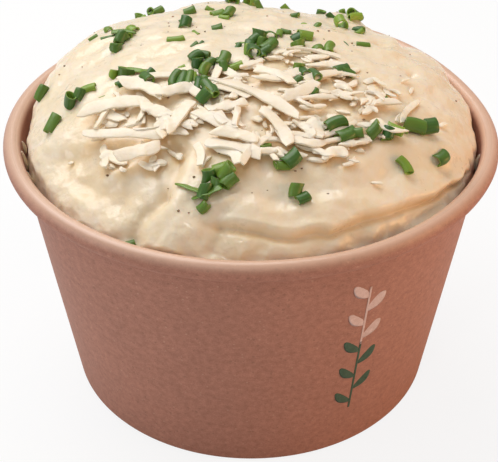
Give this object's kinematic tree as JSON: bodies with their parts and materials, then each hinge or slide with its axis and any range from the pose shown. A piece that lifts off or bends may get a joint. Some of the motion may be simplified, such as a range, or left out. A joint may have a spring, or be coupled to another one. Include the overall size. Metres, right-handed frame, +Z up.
{
  "type": "mashed potato side in a paper pot",
  "caption": "Round tapered paper pot with a rolled rim, heaped with creamy mashed potato under grated hard cheese and chopped chives.",
  "frame": {"origin": "centre of the pot's foot, on the surface that the pot stands on", "axes": "+Z up along the pot's axis, -Y towards the front, +X to the right seen from the front"},
  "size_m": [0.115, 0.115, 0.088],
  "materials": {
    "kraft_board": "matt brown kraft board, coated inside",
    "floor_board": "matt brown kraft board",
    "mashed_potato": "soft, moist, creamy, with a slight sheen on the ridges",
    "hard_cheese": "pale, waxy shreds",
    "chives": "fresh cut green, smooth outside and paler inside",
    "pepper": "ground pepper specks",
    "print": "flat printed ink"
  },
  "bodies": {
    "root": {"pot_wall": "kraft_board", "pot_floor": "floor_board", "mash": "mashed_potato", "grated_cheese": "hard_cheese"}
  },
  "joints": []
}
